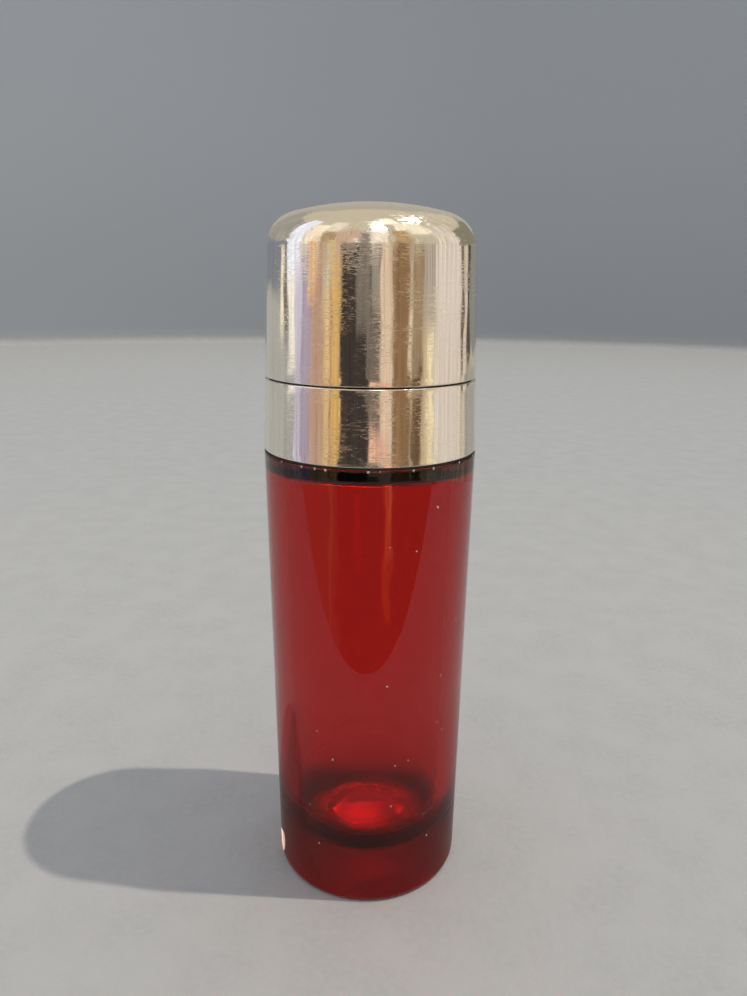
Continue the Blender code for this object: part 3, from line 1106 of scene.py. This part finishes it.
def makeRoomShell(look):
    radius, centre, highest = look["radius"], look["centreHeight"], 89.9
    lowest = -math.degrees(math.asin((centre - 1 * mm) / radius))
    turns, rises = 120, 48
    verts, faces = [], []
    for row in range(rises + 1):
        rise = math.radians(lowest + (highest - lowest) * row / rises)
        flat = radius * math.cos(rise)
        for i in range(turns):
            turn = 2 * math.pi * i / turns - math.pi
            verts.append((flat * math.sin(turn), -flat * math.cos(turn), centre + radius * math.sin(rise)))
    for row in range(rises):
        rise = lowest + (highest - lowest) * (row + 0.5) / rises
        for i, face in enumerate(ringFaces(row, turns)):
            turn = 360 * (i + 0.5) / turns - 180
            if abs(turn) <= look["openFrom"] or rise >= look["openBelow"]:
                faces.append(face)
    addMirrored("roomShell", verts, faces, makeRoomMaterial(look, "mirroredRoom"))


patchMask = makePatchMask()
makeRoomShell(roomLook)

# A dark sheet just above the table in front of the bottle, seen only in reflections and through the glass: a
# painted dark reflection, with painted warm streaks, in the front of the glass

edgeLook = {
    "edgeMiddle": -0.068,
    "edgeSlope": -0.05,
    "reach": 0.205,
    "height": 0.6 * mm,
    "streakContrast": 0.2,
    "ground": (0.20, 0.18, 0.13),
    "patches": [
        ("tan", -90, -33, -90, 0, (0.36, 0.28, 0.20)),
        ("goldThin", -42, -39, -90, 0, (0.90, 0.50, 0.22)),
        # Painted highlights: warm streaks that the glass mirrors
        ("warmStripe", 15, 23, -38, 0, (1.30, 0.34, 0.14)),
        ("warmTop", 16, 23, -29, 0, (2.00, 0.60, 0.24)),
        ("warmCore", 20.5, 22, -24, 0, (3.00, 1.25, 0.55)),
    ],
}


def makePaintedEdgeReflection(look):
    material = makeRoomMaterial({**roomLook, **look}, "paintedEdgeReflection")
    steps = 60
    verts = []
    for i in range(steps + 1):
        across = look["reach"] * (2 * i / steps - 1) * 0.97
        edge = look["edgeMiddle"] + look["edgeSlope"] * across
        far = -math.sqrt(look["reach"] ** 2 - across**2)
        near = min(edge, far * 0.999) if far > edge else edge
        verts += [(across, near, look["height"]), (across, far, look["height"])]
    addMirrored("paintedEdgeReflection", verts, stripFaces(steps), material)


makePaintedEdgeReflection(edgeLook)

# A small glowing card high behind the bottle, seen only through the glass, which paints the bright glow in
# the bowl of the glass

glowLook = {
    "turn": 182.0,
    "rise": 38.0,
    "aimHeight": 12 * mm,
    "distance": 0.19,
    "width": 0.036,
    "height": 0.009,
    "colour": (1.0, 0.9, 1.0),
    "strength": 560.0,
}


def makePaintedGlowCard(look):
    turn, rise = math.radians(look["turn"]), math.radians(look["rise"])
    out = Vector((math.sin(turn) * math.cos(rise), -math.cos(turn) * math.cos(rise), math.sin(rise)))
    side = out.cross(Vector((0.0, 0.0, 1.0))).normalized()
    up = side.cross(out)
    middle = Vector((0.0, 0.0, look["aimHeight"])) + out * look["distance"]
    steps = 24
    verts = [middle]
    for i in range(steps):
        angle = 2 * math.pi * i / steps
        across, along = look["width"] / 2 * math.cos(angle), look["height"] / 2 * math.sin(angle)
        verts.append(middle + side * across + up * along)
    faces = [(0, 1 + i, 1 + (i + 1) % steps) for i in range(steps)]
    glowCard = addMirrored("paintedGlowCard", verts, faces, makePlainGlow(look, "paintedGlowCard"))
    glowCard.visible_glossy = False


makePaintedGlowCard(glowLook)

# A ring of painted shade on the table near the foot, seen only in reflections: a painted darker reflection
# of the table. Without it the lower glass mirrors the lit table too brightly.

dimLook = {
    "inner": 12.4 * mm,
    "outer": 55 * mm,
    "height": 0.04 * mm,
    "colour": (0.15, 0.12, 0.11),
    "cover": 0.75,
}


def makePaintedShadeRing(look):
    material, tree, surface = glowMaterial("paintedShadeRing")
    place = objectPlace(tree)
    reach = addNode(tree, "ShaderNodeVectorMath", {"operation": "LENGTH"}, n0=place).outputs["Value"]
    cover = stretchTo(tree, reach, look["inner"], look["outer"], look["cover"], 0.0, smooth=False)
    dim = addNode(tree, "ShaderNodeEmission", None, Color=(*look["colour"], 1.0)).outputs[0]
    clear = addNode(tree, "ShaderNodeBsdfTransparent").outputs[0]
    mixed = addNode(tree, "ShaderNodeMixShader", None, n0=cover, n1=clear, n2=dim).outputs[0]
    tree.links.new(mixed, surface)
    steps = 96
    verts = []
    for i in range(steps):
        angle = 2 * math.pi * i / steps
        for radius in (look["inner"], look["outer"]):
            verts.append((radius * math.cos(angle), radius * math.sin(angle), look["height"]))
    faces = [[v % len(verts) for v in face] for face in stripFaces(steps)]  # the last face meets the first
    ground = addMirrored("paintedShadeRing", verts, faces, material)
    ground.visible_transmission = False


makePaintedShadeRing(dimLook)

# A painted spot of gathered sunlight on the table beside the foot, seen only in reflections; it paints a
# glint on the heel of the glass

glintLook = {
    "inner": 12.2 * mm,
    "outer": 14.2 * mm,
    "from": 74,
    "to": 100,
    "height": 0.1 * mm,
    "colour": (1.0, 0.70, 0.58),
    "strength": 1.6,
}


def makeSunSpot(look):
    steps = 16
    verts = []
    for i in range(steps + 1):
        share = i / steps
        turn = math.radians(look["from"] + (look["to"] - look["from"]) * share)
        swell = math.sin(math.pi * share)  # widest in the middle, pointed at both ends
        for reach in (look["inner"], look["inner"] + (look["outer"] - look["inner"]) * swell):
            verts.append((-reach * math.sin(turn), -reach * math.cos(turn), look["height"]))
    spot = addMirrored("sunSpot", verts, stripFaces(steps), makePlainGlow(look, "sunSpot"))
    spot.visible_transmission = False


makeSunSpot(glintLook)

# Light

lightLook = {
    "sunTurn": 95.0,  # degrees round from straight behind the bottle, clockwise from above
    "sunHeight": 65.0,
    "sunStrength": 1.03,
    "sunSize": 0.8,
    "sunColour": (1.0, 0.93, 0.83),
    "skyColour": (0.84, 0.91, 1.02),
    "skyStrength": 0.60,
}


def makeLight(look):
    sun = bpy.data.lights.new("sun", "SUN")
    sun.energy = look["sunStrength"]
    sun.angle = math.radians(look["sunSize"])
    sun.color = look["sunColour"]
    holder = bpy.data.objects.new("sun", sun)
    turn, rise = math.radians(look["sunTurn"]), math.radians(look["sunHeight"])
    direction = Vector((math.sin(turn) * math.cos(rise), math.cos(turn) * math.cos(rise), math.sin(rise)))
    holder.rotation_mode = "QUATERNION"
    holder.rotation_quaternion = direction.to_track_quat("Z", "Y")
    bpy.context.scene.collection.objects.link(holder)
    world = bpy.data.worlds.new("softSky")
    world.use_nodes = True
    sky = world.node_tree.nodes["Background"]
    sky.inputs["Color"].default_value = (*look["skyColour"], 1.0)
    sky.inputs["Strength"].default_value = look["skyStrength"]
    bpy.context.scene.world = world


makeLight(lightLook)

# Camera

cameraPlace = {
    "location": (0.505 * mm, -91.6 * mm, 76.7 * mm),
    "down": 15.68,  # degrees
    "lean": 0.52,
    "lens": 27.1,
    "sensor": 36.0,
    "sees": (5 * mm, 20.0),
}


def makeCamera(place):
    data = bpy.data.cameras.new("camera")
    data.sensor_width = place["sensor"]
    data.lens = place["lens"]
    data.clip_start, data.clip_end = place["sees"]
    camera = bpy.data.objects.new("camera", data)
    camera.location = place["location"]
    camera.rotation_mode = "XYZ"
    down, lean = math.radians(place["down"]), math.radians(place["lean"])
    forward = Vector((0.0, math.cos(down), -math.sin(down)))
    turn = forward.to_track_quat("-Z", "Y")
    camera.rotation_euler = (turn.to_matrix() @ Matrix.Rotation(lean, 3, "Z")).to_euler()
    bpy.context.scene.collection.objects.link(camera)
    bpy.context.scene.camera = camera


makeCamera(cameraPlace)
bpy.context.scene.view_settings.view_transform = "Standard"
print("stage, light and camera set")
